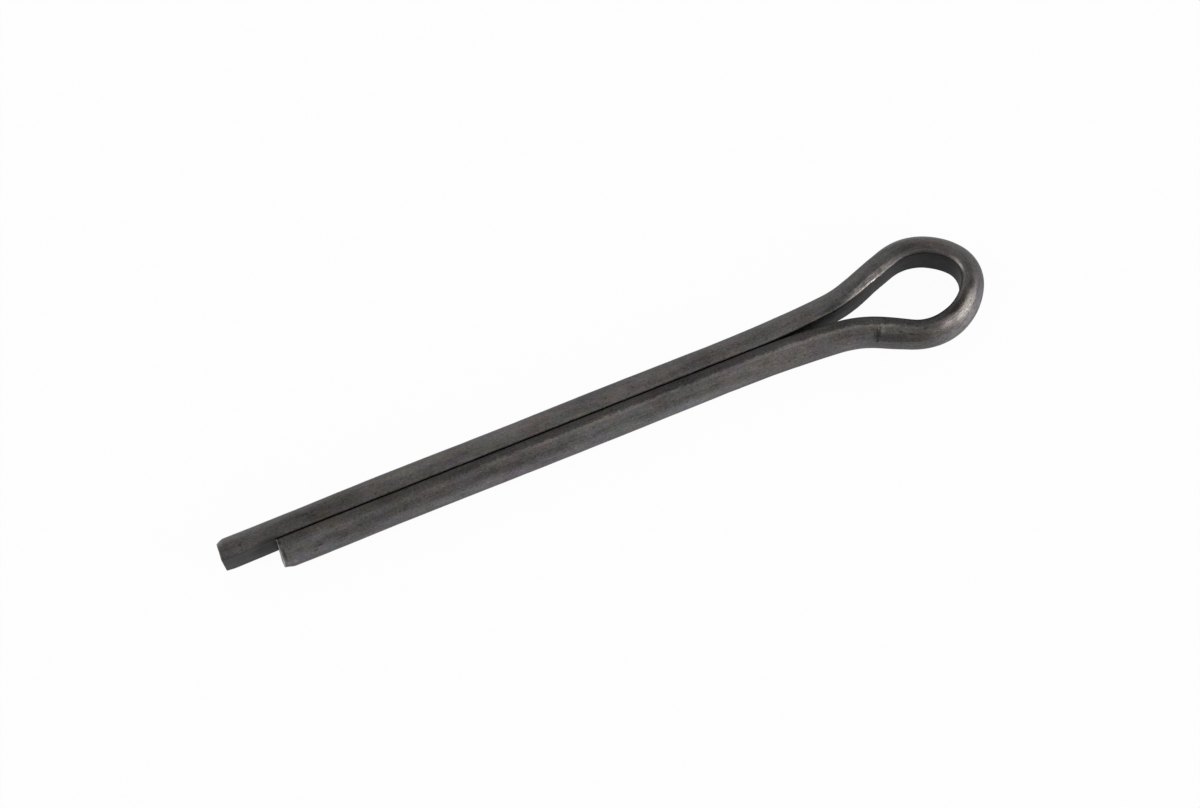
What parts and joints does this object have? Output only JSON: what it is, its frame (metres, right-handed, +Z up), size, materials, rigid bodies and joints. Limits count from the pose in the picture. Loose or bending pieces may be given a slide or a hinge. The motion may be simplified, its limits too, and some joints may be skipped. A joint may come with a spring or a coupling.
{
  "type": "cotter pin",
  "caption": "Extended-prong cotter pin: half-round steel wire folded into an open eye, its two flat-faced legs together making a round shank with sheared tips.",
  "frame": {"origin": "on the axis of the round shank, at its head end, where the two legs begin to part", "axes": "+X along the shank towards the eye, +Z up and square to the eye, with the pin lying flat; the longer leg is on the +Y side"},
  "size_m": [0.0892, 0.0128, 0.0054],
  "materials": {
    "wire": "plain drawn steel wire, dark grey-brown, with lengthwise drawing streaks and burnished patches at the bends"
  },
  "bodies": {
    "root": {"cotter_pin": "wire"}
  },
  "joints": []
}
